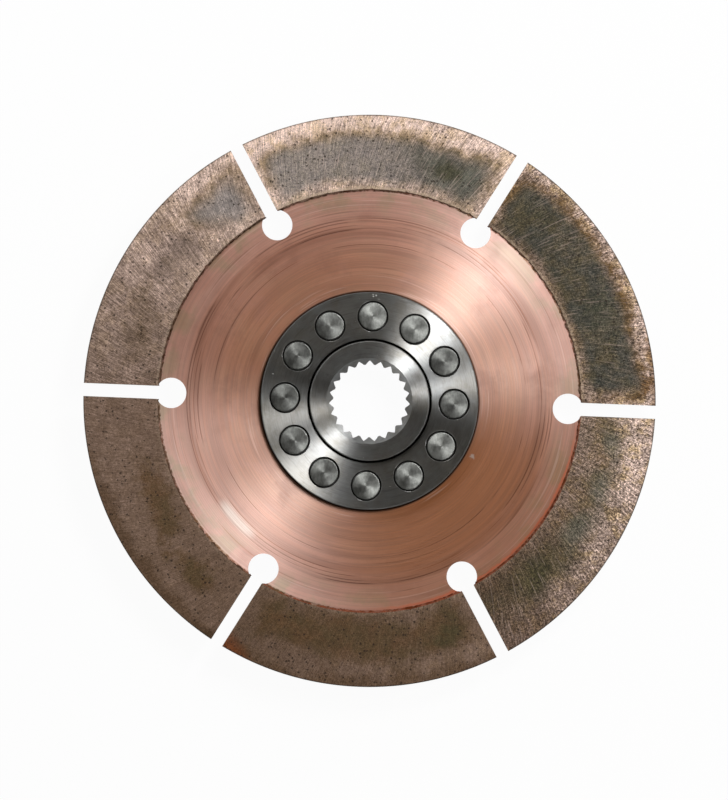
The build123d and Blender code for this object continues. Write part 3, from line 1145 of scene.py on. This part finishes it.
def make_lamps():
    """Two soft boxes to the upper right, and a fill from the upper left."""
    make_lamp("key_lamp", azimuth=radians(50), elevation=radians(60), distance=0.7,
              width=0.115, height=0.26, power=2.75)
    make_lamp("side_lamp", azimuth=radians(13), elevation=radians(60), distance=0.7,
              width=0.014, height=0.26, power=0.88)
    make_lamp("fill_lamp", azimuth=radians(122), elevation=radians(38), distance=0.30,
              width=0.34, height=0.08, power=0.155)


def make_world(scene):
    """A studio with pale walls and a dim ceiling."""
    world = bpy.data.worlds.new("studio")
    scene.world = world
    world.use_nodes = True
    tree = world.node_tree
    background = tree.nodes["Background"]
    way = tree.nodes.new("ShaderNodeTexCoord").outputs["Generated"]
    height = make_node("SeparateXYZ", {0: way})["Z"]
    link_all(background.inputs, Color=blend_colour(ramp(height, 0.14, 0.54), WHITE, DIM_CEILING))


# The view's height, and how far the disc's middle lies from the view's middle, in pixels
VIEW_PIXELS = 800
OFF_RIGHT_PIXELS, OFF_DOWN_PIXELS = 5.5, 0.9


def make_camera(scene, sizes):
    """A camera that looks straight down, framed on the disc a little off the middle."""
    pixel = sizes.view_height / VIEW_PIXELS
    right, down = OFF_RIGHT_PIXELS * pixel, OFF_DOWN_PIXELS * pixel
    data = bpy.data.cameras.new("camera")
    data.sensor_fit = "VERTICAL"
    data.sensor_height = 36
    data.lens = data.sensor_height * sizes.camera_height / sizes.view_height
    data.clip_start = 0.01
    camera = bpy.data.objects.new("camera", data)
    scene.collection.objects.link(camera)
    turn = sizes.turn
    camera.location = (
        -right * cos(turn) - down * sin(turn),
        -right * sin(turn) + down * cos(turn),
        LINING_FACE + sizes.camera_height,
    )
    camera.rotation_euler = (0, 0, turn)
    scene.camera = camera
    scene.view_settings.view_transform = "Standard"


# ---- Sidebar panel and registration ----


OPERATORS = (
    CLUTCH_OT_dress_hub,
    CLUTCH_OT_dress_retaining_ring,
    CLUTCH_OT_dress_core_plate,
    CLUTCH_OT_dress_rivets,
    CLUTCH_OT_make_linings,
    CLUTCH_OT_set_stage,
)


class CLUTCH_PT_disc(bpy.types.Panel):
    """Lists the operators that dress the clutch disc"""

    bl_idname = "CLUTCH_PT_disc"
    bl_label = "Clutch Disc"
    bl_space_type = "VIEW_3D"
    bl_region_type = "UI"
    bl_category = "Clutch Disc"

    def draw(self, context):
        for operator in OPERATORS:
            self.layout.operator(operator.bl_idname)
        for settings in SETTINGS:
            box = self.layout.box()
            for name in settings.__annotations__:
                box.prop(getattr(context.scene, SETTINGS[settings]), name)


SETTINGS = {
    ClutchLiningSizes: "clutch_lining_sizes",
    ClutchColours: "clutch_colours",
    ClutchStageSizes: "clutch_stage_sizes",
}
CLASSES = (*SETTINGS, *OPERATORS, CLUTCH_PT_disc)


def register():
    """Registers the classes and hangs the settings on the scene."""
    for item in CLASSES:
        bpy.utils.register_class(item)
    for settings, name in SETTINGS.items():
        setattr(bpy.types.Scene, name, bpy.props.PointerProperty(type=settings))


def unregister():
    """Takes the settings and the classes away again."""
    for name in SETTINGS.values():
        delattr(bpy.types.Scene, name)
    for item in reversed(CLASSES):
        bpy.utils.unregister_class(item)


def main():
    """Dresses the disc and sets the stage."""
    register()
    make_groups()
    for operator in OPERATORS:
        group, name = operator.bl_idname.split(".")
        getattr(getattr(bpy.ops, group), name)()


if __name__ == "__main__":
    main()
